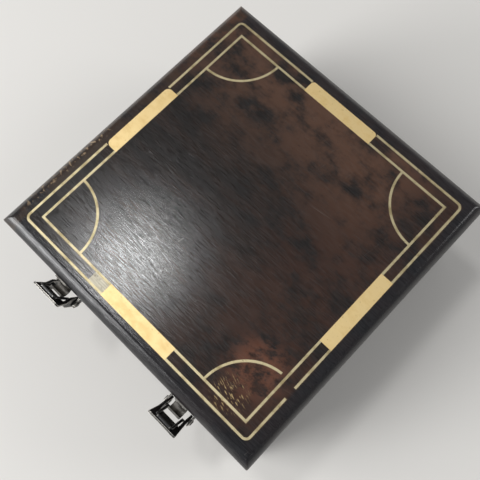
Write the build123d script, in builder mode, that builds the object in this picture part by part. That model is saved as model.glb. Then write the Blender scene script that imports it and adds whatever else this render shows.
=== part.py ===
from build123d import *
from math import asin, cos, degrees, hypot, radians, sin
import os

# Hinged hardwood box for a small brass sextant, in millimetres.
# +X runs to the right along the front, -Y is the front with its two draw latches, +Z is up.
# The origin lies on the table, under the middle of the case.
# At rest the lid is shut and both latches are thrown open, leaning away from their keepers.

os.makedirs("parts", exist_ok=True)

# Box
box_width = 142.6
box_depth = 144.1
box_height = 70.0
lid_height = 21.0
wall = 8.0
base_thickness = 6.0
top_thickness = 6.0
joint_cover = 3.6          # what an end board keeps outside its rebate, over the side board's end
corner_bevel = 0.5         # upright corners
top_round = 4.4            # upper edge of the lid, mitred at the corners
foot_bevel = 0.6           # lower edge of the base

# Lining
lining = 1.2
floor_pad = 2.6
lid_pad = 1.6
lining_gap = 0.15
lining_drop = 0.8          # how far the wall linings stop short of the seam

# Brass lines, arcs and plates let into the lid
line_margin = 7.7          # edge of the lid to the middle of the outer line
line_width = 1.0
line_pitch = 5.1           # middle of the outer line to the middle of the inner line
outer_line_round = 2.2
arc_radius = 22.6
arc_lost_angle = 4.5       # what the front right arc has lost at its right-hand end
plate_length = 37.0
front_plate_shift = 1.3    # from the middle of its side, to the right
rear_plate_shift = -1.4
right_plate_shift = 1.3    # toward the rear
rear_plate_round = 1.6     # corners at the outer line
left_plate_round = 2.4
plate_joint = 0.05         # end of a line to the end of a plate
patch_length = 8.1
inlay_depth = 1.2
inlay_proud = 0.04
inlay_gap = 0.03
lost_line_middle = -40.0   # where a short piece of the right-hand outer line has come out
lost_line_length = 5.2

# Latches
latch_sheet = 0.8
keeper_width = 6.4
keeper_top = 7.0           # below the top of the lid
hook_inner_radius = 2.0
hook_lip = 2.4
hook_above_seam = 7.0      # middle of the hook's curl above the seam
pivot_below_seam = 2.6
pivot_out = 4.0
pivot_radius = 0.9
pivot_clearance = 0.05
rivet_fit = 0.02
rivet_head_radius = 1.6
rivet_head = 0.6
ear_radius = 2.2
ear_gap = 0.3
base_plate_drop = 21.6     # pivot to the lower end of the base plate
base_plate_round = 1.6
lever_width = 15.0         # at the free end
lever_root_width = 12.2    # over the cheeks
taper_start = 3.0          # pivot to where the lever begins to widen
lever_length = 18.6
left_lever_lean = 18.0     # degrees from upright, away from the lid
right_lever_lean = 26.0
lever_tuck = 7.0           # degrees past hanging straight, when the latch is shut
arm_height = 2.4           # arm sheet above the pivot line
arm_width = 1.0            # at the pivots
arm_length = 6.6
step_length = 3.0
finger_height = 0.6        # finger plate above the pivot line
flare_length = 2.0
finger_flare = 1.3
finger_round = 1.2
lever_bend = 1.4
window_end = 10.5
cheek_radius = 2.4
cheek_stop = 4.2           # end of the cheeks to the end of the lever
bail_crank = 5.0           # pivot to the bail's feet, along the lever
bail_lift = 1.0            # pivot line to the bail's feet
bail_wire = 0.6
bail_half = 4.1            # middle of the latch to the middle of a bail leg
bail_bend = 0.9
bail_rest = 8.0            # degrees between the bail and the raised lever
bail_clearance = 0.06
screw_radius = 0.8
screw_head_radius = 1.5
plate_screw_spread = 9.6

# Hinges
hinge_inset = 32.0         # end of the box to the middle of each hinge
hinge_width = 25.0
hinge_leaf = 1.2
hinge_leaf_height = 11.5
knuckle_count = 3
knuckle_radius = 2.2
knuckle_gap = 0.2
hinge_standoff = 0.3       # knuckle to the rear face
hinge_pin_radius = 1.0
hinge_pin_clearance = 0.05
hinge_screw_spread = 15.0
hinge_screw_drop = 7.4

# Worked out from the sizes above
half_width = box_width / 2
half_depth = box_depth / 2
seam = box_height - lid_height
latch_offset = box_width / 4
hinge_offset = half_width - hinge_inset
rebate = wall - joint_cover
room_width = box_width - 2 * wall
room_depth = box_depth - 2 * wall
case_wall_height = seam - base_thickness
lid_wall_height = lid_height - top_thickness
inner_margin = line_margin + line_pitch
band_width = line_pitch - line_width
hook_radius = hook_inner_radius + latch_sheet / 2
hook_height = seam + hook_above_seam
pivot_height = seam - pivot_below_seam
lever_root = lever_root_width / 2
ear_inner = lever_root + ear_gap
ear_outer = ear_inner + latch_sheet
hinge_axis_out = hinge_standoff + knuckle_radius
knuckle_pitch = hinge_width / knuckle_count


def keep(part, node):
    part.label = node
    export_step(part, f"parts/{node}.step")


def side_plane(middle, out=0.0, height=0.0):
    # sketch X points out of the front face, sketch Y points up
    return Plane(origin=(middle, -half_depth - out, height), x_dir=(0, -1, 0), z_dir=(-1, 0, 0))


def front_plane(middle, height, out=0.0):
    # sketch X points right, sketch Y points up, the normal points out of the front face
    return Plane(origin=(middle, -half_depth - out, height), x_dir=(1, 0, 0), z_dir=(0, -1, 0))


def rear_plane(middle, height, out=0.0):
    # the normal points out of the rear face
    return Plane(origin=(middle, half_depth + out, height), x_dir=(-1, 0, 0), z_dir=(0, 1, 0))


# Boards of the case and the lid. The front and rear boards run the full width and are rebated
# at both ends, and the side boards are let into those rebates.

def end_board(node, side, low, height):
    with BuildPart() as board:
        with BuildSketch(Plane.XY.offset(low)):
            with Locations((0, side * (half_depth - joint_cover / 2))):
                Rectangle(box_width, joint_cover)
            with Locations((0, side * (half_depth - joint_cover - rebate / 2))):
                Rectangle(room_width, rebate)
        extrude(amount=height)
        upright = board.edges().filter_by(Axis.Z).group_by(Axis.Y)
        chamfer(upright[0] if side < 0 else upright[-1], corner_bevel)
    keep(board.part, node)


def side_board(node, side, low, height):
    with BuildPart() as board:
        with BuildSketch(Plane.XY.offset(low)):
            with Locations((side * (half_width - wall / 2), 0)):
                Rectangle(wall, box_depth - 2 * joint_cover)
        extrude(amount=height)
    keep(board.part, node)


def four_walls(prefix, low, height):
    end_board(f"{prefix}_front", -1, low, height)
    end_board(f"{prefix}_rear", 1, low, height)
    side_board(f"{prefix}_left", -1, low, height)
    side_board(f"{prefix}_right", 1, low, height)


def base_board():
    with BuildPart() as board:
        with BuildSketch(Plane.XY):
            Rectangle(box_width, box_depth)
        extrude(amount=base_thickness)
        chamfer(board.edges().filter_by(Axis.Z), corner_bevel)
        chamfer(board.faces().sort_by(Axis.Z)[0].edges(), foot_bevel)
    keep(board.part, "case_base")


# Outlines of the brass work, each used twice: wider by the glue gap for its groove in the lid,
# and at its own size for the piece.

def band_place(side_x, side_y, shift=0.0):
    # a place in the band between the two lines, this far along from the middle of the side that is named
    across = line_margin + line_pitch / 2
    return (side_x * (half_width - across) + abs(side_y) * shift, side_y * (half_depth - across) + abs(side_x) * shift)


def band_piece(side_x, along, across):
    # a length of the band as seen on its side: its extent in X and in Y
    return (along, across) if side_x == 0 else (across, along)


side_plates = {
    "front": (0, -1, front_plate_shift, 0),
    "rear": (0, 1, rear_plate_shift, rear_plate_round),
    "left": (-1, 0, 0, left_plate_round),
    "right": (1, 0, right_plate_shift, 0),
}


def line_outline(margin, rounding, grow=0.0, lost_length=0.0):
    half_line = line_width / 2 + grow
    plate_stop = plate_length + 2 * (plate_joint - grow)
    with BuildSketch() as outline:
        for edge, mode in ((margin - half_line, Mode.ADD), (margin + half_line, Mode.SUBTRACT)):
            with BuildSketch(mode=Mode.PRIVATE) as frame:
                Rectangle(box_width - 2 * edge, box_depth - 2 * edge)
                if rounding > 0:
                    fillet(frame.vertices(), rounding + margin - edge)
            add(frame.sketch, mode=mode)
        # the lines stop at the four side plates
        for side_x, side_y, shift, plate_round in side_plates.values():
            with Locations(band_place(side_x, side_y, shift)):
                Rectangle(*band_piece(side_x, plate_stop, 2 * line_pitch), mode=Mode.SUBTRACT)
        if lost_length > 0:
            with Locations((half_width - margin, lost_line_middle)):
                Rectangle(2 * half_line + line_width, lost_length, mode=Mode.SUBTRACT)
    return outline.sketch


def outer_line_outline(grow=0.0):
    return line_outline(line_margin, outer_line_round, grow, lost_line_length - 2 * grow)


def inner_line_outline(grow=0.0):
    return line_outline(inner_margin, 0, grow)


def corner_arc_outline(corner, grow=0.0):
    # a quarter circle about a corner of the inner line, both ends meeting that line
    side_x, side_y = corner_sides[corner]
    half_line = line_width / 2
    trim = degrees(asin((half_line + inlay_gap - grow) / (arc_radius - half_line)))
    lost = arc_lost_angle if corner == "front_right" else 0
    middle = (side_x * (half_width - inner_margin), side_y * (half_depth - inner_margin))
    start = 90 * list(corner_sides).index(corner)
    with BuildSketch() as outline:
        with BuildLine():
            CenterArc(middle, arc_radius, start + trim + lost, 90 - 2 * trim - lost)
        trace(line_width=line_width + 2 * grow)
    return outline.sketch


def side_plate_outline(side, grow=0.0):
    # a plate as wide as both lines and the band between them, rounded at its outer corners
    side_x, side_y, shift, plate_round = side_plates[side]
    size = band_piece(side_x, plate_length + 2 * grow, line_pitch + line_width + 2 * grow)
    with BuildSketch() as outline:
        with Locations(band_place(side_x, side_y, shift)):
            Rectangle(*size)
        if plate_round > 0:
            rows = outline.vertices().group_by(Axis.Y if side_x == 0 else Axis.X)
            fillet(rows[0] if side_x + side_y < 0 else rows[-1], plate_round + grow)
    return outline.sketch


def patch_outline(grow=0.0):
    # a hardwood patch that closes the band beside the front plate
    beside_plate = front_plate_shift - (plate_length + patch_length) / 2 - plate_joint
    across = band_width - 2 * inlay_gap + 2 * grow
    with BuildSketch() as outline:
        with Locations(band_place(0, -1, beside_plate)):
            Rectangle(patch_length + 2 * grow, across)
    return outline.sketch


corner_sides = {"front_left": (-1, -1), "front_right": (1, -1), "rear_right": (1, 1), "rear_left": (-1, 1)}


def inlay_outlines(grow=0.0):
    outlines = {"inlay_line_outer": outer_line_outline(grow), "inlay_line_inner": inner_line_outline(grow)}
    for corner in corner_sides:
        outlines[f"inlay_arc_{corner}"] = corner_arc_outline(corner, grow)
    for side in side_plates:
        outlines[f"inlay_plate_{side}"] = side_plate_outline(side, grow)
    outlines["inlay_patch"] = patch_outline(grow)
    return outlines


def lid_top():
    grooves = inlay_outlines(inlay_gap)
    with BuildPart() as board:
        with BuildSketch(Plane.XY.offset(box_height - top_thickness)):
            Rectangle(box_width, box_depth)
        extrude(amount=top_thickness)
        fillet(board.faces().sort_by(Axis.Z)[-1].edges(), top_round)
        # bevels on the upright corners, which run out on the mitres
        with BuildSketch(Plane.XY.offset(box_height - top_thickness)) as plan:
            Rectangle(box_width, box_depth)
            chamfer(plan.vertices(), corner_bevel)
        extrude(amount=top_thickness, mode=Mode.INTERSECT)
        for outline in grooves.values():
            groove = Plane.XY.offset(box_height - inlay_depth) * outline
            extrude(groove, amount=inlay_depth, mode=Mode.SUBTRACT)
    keep(board.part, "lid_top")


def inlays():
    for node, outline in inlay_outlines().items():
        with BuildPart() as inlay:
            extrude(Plane.XY.offset(box_height - inlay_depth) * outline, amount=inlay_depth + inlay_proud)
        keep(inlay.part, node)


# Lining: felt panels on the walls, a pad on the floor and one under the lid

def lining_panel(node, middle, size, low, height):
    with BuildPart() as panel:
        with BuildSketch(Plane.XY.offset(low)):
            with Locations(middle):
                Rectangle(*size)
        extrude(amount=height)
    keep(panel.part, node)


def wall_linings(prefix, low, height):
    end_place = room_depth / 2 - lining / 2
    side_place = room_width / 2 - lining / 2
    end_size = (room_width, lining)
    side_size = (lining, room_depth - 2 * lining - 2 * lining_gap)
    lining_panel(f"{prefix}_front", (0, -end_place), end_size, low, height)
    lining_panel(f"{prefix}_rear", (0, end_place), end_size, low, height)
    lining_panel(f"{prefix}_left", (-side_place, 0), side_size, low, height)
    lining_panel(f"{prefix}_right", (side_place, 0), side_size, low, height)


def pads():
    pad_size = (
        room_width - 2 * lining - 2 * lining_gap,
        room_depth - 2 * lining - 2 * lining_gap,
    )
    lining_panel("lining_floor", (0, 0), pad_size, base_thickness, floor_pad)
    lining_panel("lining_lid", (0, 0), pad_size, box_height - top_thickness - lid_pad, lid_pad)


# Draw latches. A lever turns on two stub rivets between the ears of a base plate. A wire bail
# swings in the lever's cheeks, and its bar drops into the keeper's hook on the lid.

def lever_place(along, above, angle):
    # a point of the lever as (out, height), with the lever at an angle from upright
    out = pivot_out + along * sin(radians(angle)) - above * cos(radians(angle))
    height = pivot_height + along * cos(radians(angle)) + above * sin(radians(angle))
    return out, height


def lever_direction(angle):
    return (0, -sin(radians(angle)), cos(radians(angle)))


def bail_length():
    # from the feet of the shut latch to the seat of the hook
    feet_out, feet_height = lever_place(bail_crank, bail_lift, 180 + lever_tuck)
    seat_out = latch_sheet + hook_inner_radius
    seat_height = hook_height - hook_inner_radius + bail_wire
    return hypot(feet_out - seat_out, seat_height - feet_height)


def keeper(node, middle):
    top = box_height - keeper_top
    with BuildPart() as hook:
        with BuildSketch(side_plane(middle)):
            with BuildLine():
                Line((latch_sheet / 2, top), (latch_sheet / 2, hook_height))
                curl = CenterArc((latch_sheet / 2 + hook_radius, hook_height), hook_radius, 180, 180)
                Line(curl @ 1, curl @ 1 + Vector(0, hook_lip))
            trace(line_width=latch_sheet)
        extrude(amount=keeper_width / 2, both=True)
    keep(hook.part, node)


def latch_plate(node, middle):
    low = pivot_height - base_plate_drop
    height = base_plate_drop + ear_radius
    with BuildPart() as plate:
        with BuildSketch(front_plane(middle, low + height / 2)) as flat:
            Rectangle(2 * ear_outer, height)
            fillet(flat.vertices().group_by(Axis.Z)[0], base_plate_round)
        extrude(amount=latch_sheet)
        for side in (-1, 1):
            ear_middle = middle + side * (ear_inner + latch_sheet / 2)
            with BuildSketch(side_plane(ear_middle, 0, pivot_height)):
                with Locations((pivot_out / 2, 0)):
                    Rectangle(pivot_out, 2 * ear_radius)
                with Locations((pivot_out, 0)):
                    Circle(ear_radius)
                    Circle(pivot_radius + rivet_fit, mode=Mode.SUBTRACT)
            extrude(amount=latch_sheet / 2, both=True)
        with Locations(front_plane(middle, low + screw_head_radius + latch_sheet, latch_sheet)):
            with GridLocations(plate_screw_spread, 0, 2, 1):
                Hole(screw_radius, latch_sheet)
    keep(plate.part, node)


def latch_rivets(node, middle):
    # stub rivets that end inside the cheeks, so the bail is free to swing between them
    inner_end = lever_root - latch_sheet - ear_gap
    with BuildPart() as rivets:
        for side in (-1, 1):
            with BuildSketch(side_plane(middle + side * ear_outer, pivot_out, pivot_height)):
                Circle(pivot_radius)
            extrude(amount=side * (ear_outer - inner_end))
            outward = Plane(
                origin=(middle + side * ear_outer, -half_depth - pivot_out, pivot_height),
                z_dir=(side, 0, 0),
            )
            with Locations(outward):
                Cone(
                    rivet_head_radius,
                    rivet_head_radius - rivet_head,
                    rivet_head,
                    align=(Align.CENTER, Align.CENTER, Align.MIN),
                )
    keep(rivets.part, node)


def lever(node, middle, lean):
    pivot = (0, -half_depth - pivot_out, pivot_height)
    step_end = arm_length + step_length
    finger_end = lever_length - flare_length
    cheek_end = lever_length - cheek_stop

    def lever_plane(across):
        return Plane(
            origin=(middle + across, pivot[1], pivot[2]),
            x_dir=lever_direction(lean),
            z_dir=(-1, 0, 0),
        )

    plan_plane = Plane(
        origin=(middle, pivot[1], pivot[2]),
        x_dir=lever_direction(lean),
        z_dir=(0, cos(radians(lean)), sin(radians(lean))),
    )
    with BuildPart() as body:
        # the sheet steps down from the arms to the finger plate and flares at its free end
        with BuildSketch(lever_plane(0)):
            with BuildLine():
                FilletPolyline(
                    (0, arm_height),
                    (arm_length, arm_height),
                    (step_end, finger_height),
                    (finger_end, finger_height),
                    (lever_length, finger_flare),
                    radius=lever_bend,
                )
            trace(line_width=latch_sheet)
        extrude(amount=lever_width / 2, both=True)
        # seen from above it widens toward the fingers
        with BuildSketch(plan_plane):
            with BuildLine():
                Polyline(
                    (0, -lever_root),
                    (taper_start, -lever_root),
                    (lever_length + latch_sheet, -lever_width / 2),
                    (lever_length + latch_sheet, lever_width / 2),
                    (taper_start, lever_root),
                    (0, lever_root),
                    close=True,
                )
            make_face()
        extrude(amount=arm_height + latch_sheet, both=True, mode=Mode.INTERSECT)
        free_end = body.faces().sort_by(Axis(pivot, lever_direction(lean)))[-1]
        fillet(free_end.edges().filter_by(Axis.X, reverse=True), finger_round)
        # the window between the arms, through which the bail swings
        with BuildSketch(lever_plane(0)):
            with Locations((window_end - lever_length / 2, 0)):
                Rectangle(lever_length, lever_length)
        extrude(amount=lever_root - arm_width, both=True, mode=Mode.SUBTRACT)
        # cheeks, folded down from the arms, with their lower edge sweeping up to the plate
        for side in (-1, 1):
            with BuildSketch(lever_plane(side * (lever_root - latch_sheet / 2))):
                with BuildLine():
                    Polyline(
                        (bail_crank, -cheek_radius),
                        (0, -cheek_radius),
                        (0, arm_height),
                        (arm_length, arm_height),
                        (step_end, finger_height),
                        (cheek_end, finger_height),
                    )
                    Spline(
                        (cheek_end, finger_height),
                        (bail_crank, -cheek_radius),
                        tangents=[(-1, 0), (-1, 0)],
                    )
                make_face()
                Circle(cheek_radius)
                Circle(pivot_radius + pivot_clearance, mode=Mode.SUBTRACT)
                with Locations((bail_crank, bail_lift)):
                    Circle(bail_wire + bail_clearance, mode=Mode.SUBTRACT)
            extrude(amount=latch_sheet / 2, both=True)
    keep(body.part, node)


def bail(node, middle, lean):
    feet_out, feet_height = lever_place(bail_crank, bail_lift, lean)
    reach = lever_direction(lean - bail_rest)
    length = bail_length()
    foot = lever_root
    bail_plane = Plane(
        origin=(middle, -half_depth - feet_out, feet_height),
        x_dir=reach,
        z_dir=(0, reach[2], -reach[1]),
    )
    with BuildPart() as wire:
        with BuildLine(bail_plane) as route:
            Polyline(
                (0, -foot),
                (0, -bail_half),
                (length - bail_bend, -bail_half),
                (length, -bail_half + bail_bend),
                (length, bail_half - bail_bend),
                (length - bail_bend, bail_half),
                (0, bail_half),
                (0, foot),
            )
        with BuildSketch(Plane(origin=route.line @ 0, z_dir=route.line % 0)):
            Circle(bail_wire)
        sweep(transition=Transition.RIGHT)
    keep(wire.part, node)


def latch(hand, middle, lean):
    latch_plate(f"latch_plate_{hand}", middle)
    latch_rivets(f"latch_rivets_{hand}", middle)
    lever(f"latch_lever_{hand}", middle, lean)
    bail(f"latch_bail_{hand}", middle, lean)
    keeper(f"keeper_{hand}", middle)


# Butt hinges on the rear face. The case's leaf carries the pin in every other knuckle.

def hinge_leaf_part(node, middle, up):
    first = 1 if up > 0 else 0
    clear = knuckle_radius + knuckle_gap
    pin_gap = hinge_pin_clearance if up > 0 else rivet_fit
    with BuildPart() as leaf:
        with BuildSketch(rear_plane(middle, seam + up * (clear + hinge_leaf_height) / 2)):
            Rectangle(hinge_width, hinge_leaf_height - clear)
        extrude(amount=hinge_leaf)
        for place in range(first, knuckle_count, 2):
            knuckle_middle = middle + (place - (knuckle_count - 1) / 2) * knuckle_pitch
            axis_plane = Plane(
                origin=(knuckle_middle, half_depth, seam),
                x_dir=(0, 1, 0),
                z_dir=(1, 0, 0),
            )
            with BuildSketch(axis_plane):
                with Locations((hinge_leaf / 2, up * clear / 2)):
                    Rectangle(hinge_leaf, clear)
                with Locations((hinge_axis_out, 0)):
                    Circle(knuckle_radius)
                    Circle(hinge_pin_radius + pin_gap, mode=Mode.SUBTRACT)
            extrude(amount=(knuckle_pitch - knuckle_gap) / 2, both=True)
        with Locations(rear_plane(middle, seam + up * hinge_screw_drop, hinge_leaf)):
            with GridLocations(hinge_screw_spread, 0, 2, 1):
                Hole(screw_radius, hinge_leaf)
    keep(leaf.part, node)


def hinge_pin(node, middle):
    # flush with the outer knuckles
    start = Plane(
        origin=(middle, half_depth + hinge_axis_out, seam),
        x_dir=(0, 1, 0),
        z_dir=(1, 0, 0),
    )
    with BuildPart() as pin:
        with BuildSketch(start):
            Circle(hinge_pin_radius)
        extrude(amount=(hinge_width - knuckle_gap) / 2, both=True)
    keep(pin.part, node)


def hinge(hand, middle):
    hinge_leaf_part(f"hinge_leaf_case_{hand}", middle, -1)
    hinge_leaf_part(f"hinge_leaf_lid_{hand}", middle, 1)
    hinge_pin(f"hinge_pin_{hand}", middle)


base_board()
four_walls("case_wall", base_thickness, case_wall_height)
four_walls("lid_wall", seam, lid_wall_height)
lid_top()
inlays()
wall_linings("case_lining", base_thickness, case_wall_height - lining_drop)
wall_linings("lid_lining", seam + lining_drop, lid_wall_height - lining_drop)
pads()
latch("left", -latch_offset, left_lever_lean)
latch("right", latch_offset, right_lever_lean)
hinge("left", -hinge_offset)
hinge("right", hinge_offset)
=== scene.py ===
import bpy
import bmesh
import math
from functools import partial
from mathutils import Matrix, Vector, noise


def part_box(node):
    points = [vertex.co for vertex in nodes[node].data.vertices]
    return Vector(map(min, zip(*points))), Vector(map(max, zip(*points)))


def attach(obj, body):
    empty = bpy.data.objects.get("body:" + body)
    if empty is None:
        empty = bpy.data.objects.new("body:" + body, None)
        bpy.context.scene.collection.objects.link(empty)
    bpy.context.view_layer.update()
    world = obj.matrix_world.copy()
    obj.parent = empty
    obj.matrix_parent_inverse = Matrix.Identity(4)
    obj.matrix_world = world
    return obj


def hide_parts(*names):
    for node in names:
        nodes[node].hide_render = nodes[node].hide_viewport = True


# Dark rosewood box for a small brass sextant: brass lines, arcs and plates in the lid, felt lining,
# brass butt hinges at the back and two black draw latches in front, thrown open.

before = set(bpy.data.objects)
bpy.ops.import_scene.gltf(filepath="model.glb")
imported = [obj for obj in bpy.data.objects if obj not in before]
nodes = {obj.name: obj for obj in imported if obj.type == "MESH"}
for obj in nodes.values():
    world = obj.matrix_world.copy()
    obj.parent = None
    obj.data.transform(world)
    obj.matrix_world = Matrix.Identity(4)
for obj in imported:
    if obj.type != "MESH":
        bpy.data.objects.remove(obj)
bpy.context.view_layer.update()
mm = 0.001
eased = {"interpolation_type": "SMOOTHSTEP"}     # a range that eases in and out
colours = {"data_type": "RGBA"}                  # a mix of colours: inputs 0, 6 and 7, output 2


# Small helpers

def linearColour(code, alpha=1.0):
    # an sRGB hex colour as the linear values that the shaders take
    channels = [int(code[place:place + 2], 16) / 255 for place in (1, 3, 5)]
    linear = [c / 12.92 if c <= 0.04045 else ((c + 0.055) / 1.055) ** 2.4 for c in channels]
    return linear + [alpha]


def addNode(tree, kind, settings=None, inputs=None):
    # one node with its settings; an input is a value, or a socket to link from
    node = tree.nodes.new(kind)
    for name, value in (settings or {}).items():
        setattr(node, name, value)
    for name, value in (inputs or {}).items():
        if isinstance(value, bpy.types.NodeSocket):
            tree.links.new(value, node.inputs[name])
        else:
            node.inputs[name].default_value = value
    return node


def newMaterial(name, turn=0.0, shift=(0.0, 0.0, 0.0)):
    # a material, its node maker, its shader, and object coordinates in mm, turned about Z
    material = bpy.data.materials.new(name)
    material.use_nodes = True
    material.node_tree.nodes.clear()
    add = partial(addNode, material.node_tree)
    shader = add("ShaderNodeBsdfPrincipled")
    add("ShaderNodeOutputMaterial", inputs={"Surface": shader.outputs["BSDF"]})
    place = add("ShaderNodeMapping", inputs={
        "Vector": add("ShaderNodeTexCoord").outputs["Object"],
        "Location": shift,
        "Rotation": (0.0, 0.0, math.radians(turn)),
        "Scale": (1 / mm, 1 / mm, 1 / mm),
    }).outputs["Vector"]
    return material, add, shader, place


def findPatterns(add, place, patterns):
    # the patterns of a finish by name, each from its cell size in mm, its turn in degrees,
    # its detail and its roughness
    found = {}
    for name, (cell, turn, detail, rough) in patterns.items():
        cells = add("ShaderNodeMapping", {"vector_type": "TEXTURE"}, {
            "Vector": place, "Rotation": (0.0, 0.0, math.radians(turn)), "Scale": cell,
        })
        found[name] = add("ShaderNodeTexNoise", inputs={
            "Vector": cells.outputs["Vector"], "Scale": 1.0, "Detail": detail, "Roughness": rough,
        }).outputs["Fac"]
    return found


def layOver(add, under, tint, strength, *ranges):
    # a colour laid over another, most where each of the given values is at the far end of its range
    share = strength
    for value, low, high in ranges:
        share = add("ShaderNodeMapRange", eased, {
            "Value": value, "From Min": low, "From Max": high, "To Max": share,
        }).outputs["Result"]
    return add("ShaderNodeMix", colours, {0: share, 6: under, 7: linearColour(tint)}).outputs[2]


def layAll(add, finish, layers, found):
    # the ground colour of a finish with its layers over it, each given as a colour's name, its
    # strength, and what it follows with the range over which it comes in
    colour = linearColour(finish["ground"])
    for tint, strength, *ranges in layers:
        followed = [(found[name], low, high) for name, low, high in ranges]
        colour = layOver(add, colour, finish[tint], strength, *followed)
    return colour


def finishWith(add, shader, colour, gloss, roughness, relief, depth, strength=0.6):
    # colour, a roughness that follows one pattern between two ends, and a relief, its depth in mm
    rough = add("ShaderNodeMapRange", inputs={
        "Value": gloss, "From Min": 0.25, "From Max": 0.75,
        "To Min": roughness[0], "To Max": roughness[1],
    })
    bump = add("ShaderNodeBump", inputs={
        "Height": relief, "Distance": depth * mm, "Strength": strength,
    })
    link = shader.id_data.links.new
    link(colour, shader.inputs["Base Color"])
    link(rough.outputs["Result"], shader.inputs["Roughness"])
    link(bump.outputs["Normal"], shader.inputs["Normal"])


def wearAlongEdges(add, radius):
    # 1 on flat ground and down to about 0.7 on an outside edge, where a normal that is rounded
    # over this radius in mm leaves the real one
    rounded = add("ShaderNodeBevel", {"samples": 6}, {"Radius": radius * mm})
    real = add("ShaderNodeNewGeometry")
    return add("ShaderNodeVectorMath", {"operation": "DOT_PRODUCT"}, {
        0: rounded.outputs["Normal"], 1: real.outputs["Normal"],
    }).outputs["Value"]


# Wood

rosewood = {
    "ground": "#191615",       # near black, from the stain under the polish
    "figure": "#2b201b",       # the brown that shows between the dark streaks
    "maroon": "#3a251c",       # richer toward the right-hand corner
    "rearBrown": "#523a2d",    # paler toward the rear
    "blotch": "#5e3b2c",       # where the stain is thin, in the front right-hand corner
    "margin": "#15161a",       # cooler black outside the lines, where the polish is thickest
    "marginBrown": "#33271f",  # the left-hand margin, worn by fingers
    "cornerBrown": "#4e3427",  # the rear end of that margin
    "rubbed": "#a38c70",       # where the polish is gone
    "scar": "#b59c6e",         # short bright scars in the corner by the right-hand latch
    "scratch": "#7b7672",
    "pore": "#0c0a09",
    "patterns": {
        # cell in mm, turn, detail, roughness
        "bands": ((46.0, 10.0, 10.0), 0.0, 4.0, 0.62),
        "streaks": ((2.6, 0.36, 0.36), 0.0, 3.0, 0.6),      # several times a real pore, to show
        "flecks": ((5.0, 0.24, 0.24), 0.0, 2.0, 0.55),      # the pores as the polish shows them
        "clouds": ((15.0, 11.0, 11.0), 0.0, 5.0, 0.62),
        "smudges": ((7.0, 5.0, 5.0), 20.0, 4.0, 0.65),
        "specks": ((1.7, 1.4, 1.4), 0.0, 2.0, 0.5),
        "scars": ((3.0, 0.5, 0.5), -16.0, 2.0, 0.5),
        "scratches": ((24.0, 0.30, 0.30), 9.0, 1.0, 0.4),   # wider than real ones, to show
        "crossScratches": ((17.0, 0.30, 0.30), 82.0, 1.0, 0.4),
    },
    # colour, strength, then what the layer follows and the range over which it comes in
    "grainLayers": (
        ("figure", 0.9, ("bands", 0.42, 0.66), ("streaks", 0.25, 0.6)),
    ),
    "boardLayers": (
        ("maroon", 0.5, ("clouds", 0.44, 0.68)),
    ),
    "lidLayers": (
        # in mm: across and deep from the middle of the lid, out the larger of the two either
        # way, height from the underside of the box, fromBlotch and fromScars from those places
        ("maroon", 0.85, ("across", -20.0, 50.0), ("clouds", 0.34, 0.62)),
        ("rearBrown", 0.9, ("deep", 0.0, 58.0), ("clouds", 0.34, 0.60), ("across", 62.0, 30.0)),
        ("blotch", 0.95, ("fromBlotch", 17.0, 5.1), ("smudges", 0.40, 0.58)),
        ("margin", 0.85, ("out", 62.8, 65.2)),
        ("marginBrown", 0.95, ("across", -62.8, -65.2), ("clouds", 0.30, 0.55)),
        ("cornerBrown", 0.8, ("across", -62.8, -65.2), ("deep", 5.0, 58.0), ("smudges", 0.36, 0.6)),
        ("scar", 0.9, ("fromScars", 9.5, 2.85), ("scars", 0.55, 0.68)),
        ("rubbed", 0.7, ("across", -65.6, -67.6), ("height", 67.0, 69.5), ("deep", -64.0, -56.0),
            ("deep", -9.0, -19.0), ("specks", 0.54, 0.66)),
    ),
    "polishLayers": (
        ("pore", 0.6, ("streaks", 0.36, 0.26)),
        ("scratch", 0.22, ("scratches", 0.72, 0.80), ("clouds", 0.46, 0.60)),
        ("scratch", 0.18, ("crossScratches", 0.73, 0.81), ("smudges", 0.46, 0.60)),
    ),
    "boardEdges": ("rubbed", 0.16, ("wear", 0.93, 0.80), ("clouds", 0.38, 0.6)),
    "lidEdges": ("rubbed", 0.45, ("wear", 0.93, 0.80), ("clouds", 0.38, 0.6)),
    "edgeRadius": 0.7,         # mm
    "blotchPlace": (48.0, -42.0, 70.0),
    "scarPlace": (47.0, -56.5, 70.0),
    "smudgeRelief": 0.7,       # how far the smudges stand up, beside the streaks
    "reliefDepth": 0.05,       # mm
    "rim": (67.0, 71.2),       # where the lid falls away softly to its rim, from years of rubbing
    "rimFall": 20.0,           # in relief depths
    "roughness": (0.13, 0.22),
    "rimRoughness": 0.34,      # the polish is thin on the rim of the lid
    "specular": (0.30, 0.70),  # least in the pores, where the polish has sunk
    "specularRange": (0.38, 0.62),     # of the flecks
}


def measureLid(add, place):
    # the distances that the layers on the lid follow, in mm
    axes = add("ShaderNodeSeparateXYZ", inputs={"Vector": place}).outputs
    size = add("ShaderNodeVectorMath", {"operation": "ABSOLUTE"}, {0: place}).outputs["Vector"]
    sides = add("ShaderNodeSeparateXYZ", inputs={"Vector": size}).outputs
    out = add("ShaderNodeMath", {"operation": "MAXIMUM"}, {0: sides["X"], 1: sides["Y"]})
    found = {"across": axes["X"], "deep": axes["Y"], "height": axes["Z"]}
    found["out"] = out.outputs["Value"]
    for name, point in (("fromBlotch", "blotchPlace"), ("fromScars", "scarPlace")):
        found[name] = add("ShaderNodeVectorMath", {"operation": "DISTANCE"}, {
            0: place, 1: rosewood[point],
        }).outputs["Value"]
    return found


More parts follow.
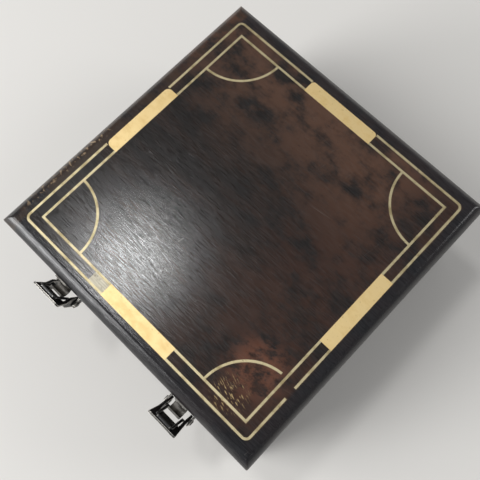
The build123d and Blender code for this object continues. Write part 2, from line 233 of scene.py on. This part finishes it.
def frenchPolishedRosewood(name, turn=0.0, shift=(0.0, 0.0, 0.0), lid=False):
    # rosewood planed along the grain, stained nearly black and French polished: a dark low gloss
    # that breaks up over the pores, brown where the stain is thin
    material, add, shader, place = newMaterial(name, turn, shift)
    found = findPatterns(add, place, rosewood["patterns"])
    found["wear"] = wearAlongEdges(add, rosewood["edgeRadius"])
    if lid:
        found.update(measureLid(add, place))
    own = "lid" if lid else "board"
    colour = layAll(add, rosewood, (
        *rosewood["grainLayers"],
        *rosewood[f"{own}Layers"],
        *rosewood["polishLayers"],
        rosewood[f"{own}Edges"],
    ), found)
    relief = add("ShaderNodeMath", {"operation": "MULTIPLY_ADD"}, {
        0: found["smudges"], 1: rosewood["smudgeRelief"], 2: found["streaks"],
    }).outputs["Value"]
    if lid:
        inner, outer = rosewood["rim"]
        rim = {"Value": found["out"], "From Min": inner, "From Max": outer}
        fall = add("ShaderNodeMapRange", eased, {**rim, "To Max": rosewood["rimFall"]})
        relief = add("ShaderNodeMath", {"operation": "SUBTRACT"}, {
            0: relief, 1: fall.outputs["Result"],
        }).outputs["Value"]
    finishWith(add, shader, colour, found["streaks"], rosewood["roughness"],
        relief, rosewood["reliefDepth"])
    if lid:
        satin = add("ShaderNodeMapRange", eased, {
            **rim,
            "To Min": shader.inputs["Roughness"].links[0].from_socket,
            "To Max": rosewood["rimRoughness"],
        })
        shader.id_data.links.new(satin.outputs["Result"], shader.inputs["Roughness"])
    sunk, full = rosewood["specularRange"]
    polish = add("ShaderNodeMapRange", inputs={
        "Value": found["flecks"], "From Min": sunk, "From Max": full,
        "To Min": rosewood["specular"][0], "To Max": rosewood["specular"][1],
    })
    shader.id_data.links.new(polish.outputs["Result"], shader.inputs["Specular IOR Level"])
    return material


maple = {
    "ground": "#d2ccb8",
    "grain": "#aca38b",
    "grime": "#6a6050",
    "patterns": {
        "streaks": ((9.0, 0.6, 0.6), 0.0, 3.0, 0.55),
        "stains": ((3.0, 2.0, 2.0), 0.0, 3.0, 0.6),
    },
    "layers": (
        ("grain", 0.9, ("streaks", 0.3, 0.7)),
        ("grime", 0.8, ("stains", 0.52, 0.72)),
    ),
    "roughness": (0.34, 0.5),
    "reliefDepth": 0.03,       # mm
}


def handledMaple(name):
    # a patch of maple let in flush by a repairer, grey with handling
    material, add, shader, place = newMaterial(name)
    found = findPatterns(add, place, maple["patterns"])
    colour = layAll(add, maple, maple["layers"], found)
    finishWith(add, shader, colour, found["stains"], maple["roughness"],
        found["streaks"], maple["reliefDepth"])
    return material


# Metals

brass = {
    "patterns": {
        # cell in mm, turn, detail, roughness
        "scratches": ((11.0, 0.3, 0.3), 14.0, 2.0, 0.5),
        "patches": ((7.0, 5.0, 5.0), 0.0, 4.0, 0.62),
        "spots": ((1.2, 1.2, 1.2), 0.0, 2.0, 0.5),
    },
    # ground, tarnish and spot colours, how much of the last two shows, and the roughness
    "lines": ("#d2c59f", "#93835b", "#57452a", 0.7, (0.44, 0.56)),
    "plates": ("#f3d9a0", "#d6b674", "#97783f", 0.4, (0.48, 0.58)),
    "hinges": ("#a98a4e", "#5c4829", "#3b2d1a", 0.95, (0.30, 0.48)),
    "tarnished": (0.42, 0.70),
    "spotted": (0.66, 0.75),
    "spotShare": 0.8,          # how far the spots show beside the tarnish
    "reliefDepth": 0.012,      # mm
    "reliefStrength": 0.4,
}


def sheetBrass(name, finish):
    # sheet brass filed and rubbed flat: soft satin, fine scratches one way, and brown tarnish
    # in patches
    ground, tarnish, spot, share, roughness = brass[finish]
    material, add, shader, place = newMaterial(name)
    found = findPatterns(add, place, brass["patterns"])
    patches = (found["patches"], *brass["tarnished"])
    spots = (found["spots"], *brass["spotted"])
    colour = layOver(add, linearColour(ground), tarnish, share, patches)
    colour = layOver(add, colour, spot, share * brass["spotShare"], spots)
    finishWith(add, shader, colour, found["patches"], roughness,
        found["scratches"], brass["reliefDepth"], brass["reliefStrength"])
    shader.inputs["Metallic"].default_value = 1.0
    return material


enamel = {
    "ground": "#121214",
    "high": "#1e1e21",         # painted highlight: a lighter black on the tops of the orange peel, where the relief rises
    "bare": "#cfcbc3",         # the steel under it
    "patterns": {
        "orangePeel": ((0.7, 0.7, 0.7), 0.0, 3.0, 0.6),
        "scuffs": ((2.6, 1.4, 1.4), 0.0, 4.0, 0.65),
    },
    "layers": (
        # a painted highlight on the tops of the orange peel
        ("high", 1.0, ("orangePeel", 0.3, 0.7)),
    ),
    "edgeRadius": 0.7,         # mm
    "wornEdge": (0.985, 0.88),     # from the flat to the edge
    "wornScuff": (0.26, 0.42),     # what breaks the wear up
    "roughness": (0.28, 0.42),
    "reliefDepth": 0.02,       # mm
    "reliefStrength": 0.3,
}


def japannedSteel(name):
    # pressed sheet steel under black stoving enamel, worn through to bright metal along its edges
    material, add, shader, place = newMaterial(name)
    found = findPatterns(add, place, enamel["patterns"])
    paint = layAll(add, enamel, enamel["layers"], found)
    worn = (
        (wearAlongEdges(add, enamel["edgeRadius"]), *enamel["wornEdge"]),
        (found["scuffs"], *enamel["wornScuff"]),
    )
    colour = layOver(add, paint, enamel["bare"], 1.0, *worn)
    metallic = layOver(add, linearColour("#000000"), "#ffffff", 1.0, *worn)
    finishWith(add, shader, colour, found["orangePeel"], enamel["roughness"],
        found["orangePeel"], enamel["reliefDepth"], enamel["reliefStrength"])
    shader.id_data.links.new(metallic, shader.inputs["Metallic"])
    return material


nickel = {
    "ground": "#8a8782",
    "dull": "#5c5955",
    "patterns": {
        "rubs": ((0.3, 9.0, 9.0), 0.0, 3.0, 0.6),
        "bloom": ((3.0, 3.0, 3.0), 0.0, 4.0, 0.6),
    },
    "layers": (
        ("dull", 1.0, ("bloom", 0.38, 0.66)),
    ),
    "roughness": (0.44, 0.60),
    "reliefDepth": 0.015,      # mm
    "reliefStrength": 0.4,
}


def dullNickel(name):
    # nickel plate gone grey, with fine rub marks up and down
    material, add, shader, place = newMaterial(name)
    found = findPatterns(add, place, nickel["patterns"])
    colour = layAll(add, nickel, nickel["layers"], found)
    finishWith(add, shader, colour, found["rubs"], nickel["roughness"],
        found["rubs"], nickel["reliefDepth"], nickel["reliefStrength"])
    shader.inputs["Metallic"].default_value = 1.0
    return material


# Felt

felt = {
    "ground": "#3a0c15",       # the shade between the fibres
    "pile": "#5a1420",
    "napLight": "#6f2430",
    "sheenColour": "#a65a64",
    "patterns": {
        "fibres": ((0.5, 0.5, 0.5), 0.0, 4.0, 0.7),         # coarser than real fibre, to show
        "nap": ((16.0, 10.0, 12.0), 0.0, 3.0, 0.6),
    },
    "layers": (
        ("pile", 1.0, ("fibres", 0.3, 0.7)),
        ("napLight", 0.35, ("nap", 0.4, 0.7)),
    ),
    "roughness": (0.9, 1.0),
    "reliefDepth": 0.12,       # mm
    "reliefStrength": 0.8,
    "specular": 0.15,
    "sheen": 0.35,
    "sheenRoughness": 0.5,
    "crown": 0.35,             # mm that a pad is lower at its edge
    "wallCrown": 0.21,         # and a wall felt
    "edge": 2.2,               # mm over which either rounds off
    "level": 0.15,             # the share of the crown by which the middle lies low too
    "deepest": 0.6,            # the share of the thickness that the crown may take
    "ripple": 0.10,            # mm
    "rippleScale": 45.0,       # ripples to a metre
    "rimBias": 0.35,           # how far the rows crowd toward the rim
    "padCells": (90, 90),
    "wallCells": (90, 36),
    "sharpAngle": 50.0,
}


def woolFelt(name):
    # pressed wool felt: matt, with a soft nap that brightens at a low angle
    material, add, shader, place = newMaterial(name)
    found = findPatterns(add, place, felt["patterns"])
    colour = layAll(add, felt, felt["layers"], found)
    finishWith(add, shader, colour, found["fibres"], felt["roughness"],
        found["fibres"], felt["reliefDepth"], felt["reliefStrength"])
    shader.inputs["Specular IOR Level"].default_value = felt["specular"]
    shader.inputs["Sheen Weight"].default_value = felt["sheen"]
    shader.inputs["Sheen Roughness"].default_value = felt["sheenRoughness"]
    shader.inputs["Sheen Tint"].default_value = linearColour(felt["sheenColour"])
    return material


def linkPiece(name, mesh, material):
    piece = bpy.data.objects.new(name, mesh)
    bpy.context.scene.collection.objects.link(piece)
    mesh.materials.append(material)
    return piece


def crownedPoint(low, high, facing, along, steps, cells, crown):
    # one point of a felt's inner face, with the rows a little closer together near the rim
    point = Vector((0.0, 0.0, 0.0))
    rim = math.inf
    for axis, step, count in zip(along, steps, cells):
        even = step / count
        crowded = 0.5 - 0.5 * math.cos(math.pi * even)
        share = felt["rimBias"] * crowded + (1 - felt["rimBias"]) * even
        span = high[axis] - low[axis]
        point[axis] = low[axis] + span * share
        rim = min(rim, span * share, span * (1 - share))
    fall = max(0.0, 1 - rim / (felt["edge"] * mm)) ** 2
    drop = crown * mm * (felt["level"] + (1 - felt["level"]) * fall)
    wave = 0.5 + 0.5 * noise.noise(point * felt["rippleScale"])
    drop += felt["ripple"] * mm * wave * (1 - fall)
    axis, side = facing
    inner = high[axis] if side > 0 else low[axis]
    point[axis] = inner - side * min(drop, (high[axis] - low[axis]) * felt["deepest"])
    return point


def feltBlock(name, node, facing, cells, crown, material):
    # a slab in the space of its node, with one face toward the inside of the box.
    # That face is crowned: it falls away toward its rim and ripples a little.
    low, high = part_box(node)
    along = [axis for axis in range(3) if axis != facing[0]]
    form = bmesh.new()
    rows = [[
        form.verts.new(crownedPoint(low, high, facing, along, (i, j), cells, crown))
        for i in range(cells[0] + 1)
    ] for j in range(cells[1] + 1)]
    for j in range(cells[1]):
        for i in range(cells[0]):
            form.faces.new((rows[j][i], rows[j][i + 1], rows[j + 1][i + 1], rows[j + 1][i]))
    back = low[facing[0]] if facing[1] > 0 else high[facing[0]]
    rim = [edge for edge in form.edges if edge.is_boundary]
    grown = bmesh.ops.extrude_edge_only(form, edges=rim)["geom"]
    for vert in [item for item in grown if isinstance(item, bmesh.types.BMVert)]:
        vert.co[facing[0]] = back
    bmesh.ops.holes_fill(form, edges=[edge for edge in form.edges if edge.is_boundary])
    bmesh.ops.recalc_face_normals(form, faces=form.faces)
    mesh = bpy.data.meshes.new(name)
    form.to_mesh(mesh)
    form.free()
    mesh.shade_smooth()
    mesh.set_sharp_from_angle(angle=math.radians(felt["sharpAngle"]))
    return linkPiece(name, mesh, material)


def lineBox(material):
    # floor pad and lid pad, and a felt on each wall
    for node, body, up in (("lining_floor", "case", 1), ("lining_lid", "lid", -1)):
        pad = feltBlock(f"felt_{node}", node, (2, up), felt["padCells"], felt["crown"], material)
        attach(pad, body)
        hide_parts(node)
    inward = {"front": (1, 1), "rear": (1, -1), "left": (0, 1), "right": (0, -1)}
    cells, crown = felt["wallCells"], felt["wallCrown"]
    for prefix, body in (("case", "case"), ("lid", "lid")):
        for side, facing in inward.items():
            node = f"{prefix}_lining_{side}"
            wallFelt = feltBlock(f"felt_{node}", node, facing, cells, crown, material)
            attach(wallFelt, body)
            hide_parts(node)


# Screws and rivets

screws = {
    # in mm, but for the seeds
    "hinge": {"radius": 1.5, "height": 0.45, "slotWidth": 0.42, "slotDepth": 0.3, "seed": 4},
    "latch": {"radius": 1.5, "height": 0.6, "slotWidth": 0.42, "slotDepth": 0.35, "seed": 9},
    "keeper": {"radius": 0.95, "height": 0.5, "slotWidth": 0.0, "slotDepth": 0.0, "seed": 2},
    "hingeSpread": 15.0,       # between a leaf's two screws
    "hingeDrop": 7.4,          # from the hinge axis
    "hingeLeaf": 1.2,
    "latchSpread": 9.6,
    "latchRise": 2.3,          # from the lower end of the plate
    "latchSheet": 0.8,
    "keeperSpread": 3.6,
    "keeperDrop": 1.7,         # from the top of the keeper
}


def headTree():
    # domed heads on the points of a mesh, each turned by chance about the way it faces
    tree = bpy.data.node_groups.new("fastenerHeads", "GeometryNodeTree")
    sockets = (
        ("Geometry", "Geometry"), ("Radius", "Float"), ("Height", "Float"), ("Slot Width", "Float"),
        ("Slot Depth", "Float"), ("Facing", "Vector"), ("Seed", "Int"), ("Material", "Material"),
    )
    for name, kind in sockets:
        tree.interface.new_socket(name, in_out="INPUT", socket_type=f"NodeSocket{kind}")
    tree.interface.new_socket("Geometry", in_out="OUTPUT", socket_type="NodeSocketGeometry")
    add = partial(addNode, tree)
    given = add("NodeGroupInput").outputs
    ball = add("GeometryNodeMeshUVSphere", inputs={"Segments": 28, "Rings": 14, "Radius": 1.0})
    size = add("ShaderNodeCombineXYZ", inputs={
        "X": given["Radius"], "Y": given["Radius"], "Z": given["Height"],
    })
    dome = add("GeometryNodeTransform", inputs={
        "Geometry": ball.outputs["Mesh"], "Scale": size.outputs["Vector"],
    })
    # everything below the seat is cut off, then the driver slot
    times = {"operation": "MULTIPLY"}
    wide = add("ShaderNodeMath", times, {0: given["Radius"], 1: 3.0}).outputs["Value"]
    down = add("ShaderNodeMath", times, {0: wide, 1: -0.5}).outputs["Value"]
    deep = add("ShaderNodeMath", times, {0: given["Slot Depth"], 1: 2.0}).outputs["Value"]
    seatSize = add("ShaderNodeCombineXYZ", inputs={"X": wide, "Y": wide, "Z": wide})
    seatBox = add("GeometryNodeMeshCube", inputs={"Size": seatSize.outputs["Vector"]})
    seatDrop = add("ShaderNodeCombineXYZ", inputs={"Z": down})
    seat = add("GeometryNodeTransform", inputs={
        "Geometry": seatBox.outputs["Mesh"], "Translation": seatDrop.outputs["Vector"],
    })
    slotSize = add("ShaderNodeCombineXYZ", inputs={"X": wide, "Y": given["Slot Width"], "Z": deep})
    slotBox = add("GeometryNodeMeshCube", inputs={"Size": slotSize.outputs["Vector"]})
    slotRise = add("ShaderNodeCombineXYZ", inputs={"Z": given["Height"]})
    slot = add("GeometryNodeTransform", inputs={
        "Geometry": slotBox.outputs["Mesh"], "Translation": slotRise.outputs["Vector"],
    })
    cut = {"operation": "DIFFERENCE", "solver": "EXACT"}
    head = add("GeometryNodeMeshBoolean", cut, {
        "Mesh 1": dome.outputs["Geometry"],
        "Mesh 2": seat.outputs["Geometry"],
    })
    slotted = add("GeometryNodeMeshBoolean", cut, {
        "Mesh 1": head.outputs["Mesh"],
        "Mesh 2": slot.outputs["Geometry"],
    })
    hasSlot = add("FunctionNodeCompare", {"data_type": "FLOAT", "operation": "GREATER_THAN"}, {
        0: given["Slot Width"], 1: 0.0,
    })
    chosen = add("GeometryNodeSwitch", {"input_type": "GEOMETRY"}, {
        "Switch": hasSlot.outputs["Result"],
        "False": head.outputs["Mesh"],
        "True": slotted.outputs["Mesh"],
    })
    facing = add("FunctionNodeAlignRotationToVector", {"axis": "Z"}, {"Vector": given["Facing"]})
    turn = add("FunctionNodeRandomValue", {"data_type": "FLOAT"}, {"Seed": given["Seed"]})
    floats = [socket for socket in turn.inputs if socket.type == "VALUE"]
    floats[0].default_value = 0.0
    floats[1].default_value = math.pi
    chance = [socket for socket in turn.outputs if socket.type == "VALUE"][0]
    aboutAxis = add("ShaderNodeCombineXYZ", inputs={"Z": chance})
    spin = add("FunctionNodeEulerToRotation", inputs={"Euler": aboutAxis.outputs["Vector"]})
    turned = add("FunctionNodeRotateRotation", {"rotation_space": "LOCAL"}, {
        "Rotation": facing.outputs["Rotation"], "Rotate By": spin.outputs["Rotation"],
    })
    placed = add("GeometryNodeInstanceOnPoints", inputs={
        "Points": given["Geometry"],
        "Instance": chosen.outputs["Output"],
        "Rotation": turned.outputs["Rotation"],
    })
    real = add("GeometryNodeRealizeInstances", inputs={"Geometry": placed.outputs["Instances"]})
    dressed = add("GeometryNodeSetMaterial", inputs={
        "Geometry": real.outputs["Geometry"], "Material": given["Material"],
    })
    add("NodeGroupOutput", inputs={"Geometry": dressed.outputs["Geometry"]})
    return tree


def fastenerHeads(name, tree, places, facing, sizes, material, body):
    # one vertex for each head, in the order they are given
    form = bmesh.new()
    for place in places:
        form.verts.new(place)
    seed = bpy.data.meshes.new(f"{name}Places")
    form.to_mesh(seed)
    form.free()
    source = bpy.data.objects.new(f"{name}Source", seed)
    bpy.context.scene.collection.objects.link(source)
    modifier = source.modifiers.new("heads", "NODES")
    modifier.node_group = tree
    values = {
        "Radius": sizes["radius"] * mm,
        "Height": sizes["height"] * mm,
        "Slot Width": sizes["slotWidth"] * mm,
        "Slot Depth": sizes["slotDepth"] * mm,
        "Facing": facing,
        "Seed": sizes["seed"],
        "Material": material,
    }
    for item in tree.interface.items_tree:
        if item.in_out == "INPUT" and item.name in values:
            modifier[item.identifier] = values[item.name]
    graph = bpy.context.evaluated_depsgraph_get()
    mesh = bpy.data.meshes.new_from_object(source.evaluated_get(graph))
    bpy.data.objects.remove(source)
    mesh.name = name
    piece = bpy.data.objects.new(name, mesh)
    bpy.context.scene.collection.objects.link(piece)
    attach(piece, body)


def twoAcross(low, high, spread, face, height):
    # the places of two heads on a piece, level, and even about its middle
    middle = (low.x + high.x) / 2
    return [(middle + side * spread / 2 * mm, face, height) for side in (-1, 1)]


def fitFasteners(brassMaterial, blackMaterial, greyMaterial):
    tree = headTree()
    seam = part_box("lid_wall_front")[0].z
    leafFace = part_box("case_wall_rear")[1].y + screws["hingeLeaf"] * mm
    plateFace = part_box("case_wall_front")[0].y - screws["latchSheet"] * mm
    for part, side in (("case", -1), ("lid", 1)):
        places = []
        height = seam + side * screws["hingeDrop"] * mm
        for hand in ("left", "right"):
            low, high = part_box(f"hinge_leaf_{part}_{hand}")
            places += twoAcross(low, high, screws["hingeSpread"], leafFace, height)
        fastenerHeads(f"hinge_screws_{part}", tree, places, (0, 1, 0), screws["hinge"],
            brassMaterial, part)
    plateScrews, keeperRivets = [], []
    for hand in ("left", "right"):
        low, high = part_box(f"latch_plate_{hand}")
        height = low.z + screws["latchRise"] * mm
        plateScrews += twoAcross(low, high, screws["latchSpread"], plateFace, height)
        low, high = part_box(f"keeper_{hand}")
        height = high.z - screws["keeperDrop"] * mm
        keeperRivets += twoAcross(low, high, screws["keeperSpread"], plateFace, height)
    fastenerHeads("latch_screws", tree, plateScrews, (0, -1, 0), screws["latch"],
        blackMaterial, "case")
    fastenerHeads("keeper_rivets", tree, keeperRivets, (0, -1, 0), screws["keeper"],
        greyMaterial, "lid")


def dress(material, *names):
    # gives a CAD node its finish; the mesh stays as it is
    for name in names:
        mesh = nodes[name].data
        mesh.materials.clear()
        mesh.materials.append(material)


print("tools ready")

# a lid board was sawn from the case board below it, so the two share one figure
boards = {
    # turn of the grain, and how far the figure is shifted along the board, in mm
    "case_wall_front": (0.0, 0.0), "lid_wall_front": (0.0, 0.0),
    "case_wall_rear": (0.0, 31.0), "lid_wall_rear": (0.0, 31.0),
    "case_wall_left": (90.0, 0.0), "lid_wall_left": (90.0, 0.0),
    "case_wall_right": (90.0, 47.0), "lid_wall_right": (90.0, 47.0),
    "case_base": (0.0, 0.0),
}
dress(frenchPolishedRosewood("frenchPolishedRosewoodLid", lid=True), "lid_top")
for name, (turn, along) in boards.items():
    dress(frenchPolishedRosewood(f"frenchPolishedRosewood_{name}", turn, (along, 0.0, 0.0)), name)
dress(handledMaple("handledMaple"), "inlay_patch")
print("wood done")

corners = ("front_left", "front_right", "rear_left", "rear_right")
lineBrass = sheetBrass("rubbedBrassLines", "lines")
plateBrass = sheetBrass("rubbedBrassPlates", "plates")
dress(lineBrass, "inlay_line_outer", "inlay_line_inner")
dress(lineBrass, *[f"inlay_arc_{corner}" for corner in corners])
dress(plateBrass, *[f"inlay_plate_{side}" for side in ("front", "rear", "left", "right")])
hingeBrass = sheetBrass("agedBrassHinges", "hinges")
blackSteel = japannedSteel("japannedSteel")
keeperNickel = dullNickel("dullNickel")
for hand in ("left", "right"):
    dress(hingeBrass, f"hinge_leaf_case_{hand}", f"hinge_leaf_lid_{hand}", f"hinge_pin_{hand}")
    dress(blackSteel, f"latch_plate_{hand}", f"latch_rivets_{hand}")
    dress(blackSteel, f"latch_lever_{hand}", f"latch_bail_{hand}")
    dress(keeperNickel, f"keeper_{hand}")
print("metal done")

lineBox(woolFelt("woolFelt"))
print("lining done")

fitFasteners(hingeBrass, blackSteel, keeperNickel)
print("fasteners done")


# Floor, light and camera

studio = {
    "floorSize": 3.0,          # m
    "floorDrop": 0.0002,       # m below the box, so that the two don't share a plane
    "floor": "#dcdad6",
    "floorRoughness": 0.9,
    "floorSpecular": 0.1,
    "sky": "#f2f3f5",
    "skyStrength": 0.36,
    "lamps": {
        # place and aim, width and power, in metres and watts
        "above": ((-0.325, -0.023, 1.05), (0.0, -0.02, 0.07), 0.13, 1.6),
        "front": ((-0.62, -0.86, 0.95), (0.0, -0.05, 0.05), 0.95, 12.0),
        "low": ((-0.58, -1.12, 0.46), (-0.03, -0.07, 0.05), 0.62, 7.5),
        "rear": ((0.75, 0.85, 0.75), (0.0, 0.0, 0.05), 0.60, 3.5),
    },
}


def studioFloor():
    side = studio["floorSize"] / 2
    mesh = bpy.data.meshes.new("floor")
    corners = [(-side, -side, 0), (side, -side, 0), (side, side, 0), (-side, side, 0)]
    mesh.from_pydata(corners, [], [(0, 1, 2, 3)])
    material, _, shader, _ = newMaterial("floorPaper")
    shader.inputs["Base Color"].default_value = linearColour(studio["floor"])
    shader.inputs["Roughness"].default_value = studio["floorRoughness"]
    shader.inputs["Specular IOR Level"].default_value = studio["floorSpecular"]
    floor = linkPiece("floor", mesh, material)
    floor.location.z = -studio["floorDrop"]


def studioLight():
    world = bpy.data.worlds.new("studio")
    world.use_nodes = True
    sky = world.node_tree.nodes["Background"]
    sky.inputs["Color"].default_value = linearColour(studio["sky"])
    sky.inputs["Strength"].default_value = studio["skyStrength"]
    bpy.context.scene.world = world
    for name, (place, aim, width, power) in studio["lamps"].items():
        lamp = bpy.data.lights.new(f"lamp_{name}", "AREA")
        lamp.shape = "DISK"
        lamp.size = width
        lamp.energy = power
        holder = bpy.data.objects.new(f"lamp_{name}", lamp)
        holder.location = place
        holder.rotation_euler = (Vector(aim) - Vector(place)).to_track_quat("-Z", "Y").to_euler()
        bpy.context.scene.collection.objects.link(holder)


camera = {
    "lens": 45.27,                       # mm, as are the next three
    "sensor": 36.0,
    "place": (54.31, -54.06, 308.69),
    "aim": (7.30, -9.65, 70.0),
    "roll": -2.58,                       # degrees
    "nearest": 0.01,                     # m
}


def aimCamera():
    view = bpy.data.cameras.new("camera")
    view.lens = camera["lens"]
    view.sensor_width = camera["sensor"]
    view.clip_start = camera["nearest"]
    place = Vector(camera["place"]) * mm
    aim = Vector(camera["aim"]) * mm
    holder = bpy.data.objects.new("camera", view)
    roll = Matrix.Rotation(math.radians(camera["roll"]), 3, "Z")
    turn = (aim - place).to_track_quat("-Z", "Y").to_matrix() @ roll
    holder.matrix_world = Matrix.Translation(place) @ turn.to_4x4()
    bpy.context.scene.collection.objects.link(holder)
    bpy.context.scene.camera = holder


studioFloor()
studioLight()
aimCamera()
bpy.context.scene.view_settings.view_transform = "Standard"
print("studio done")
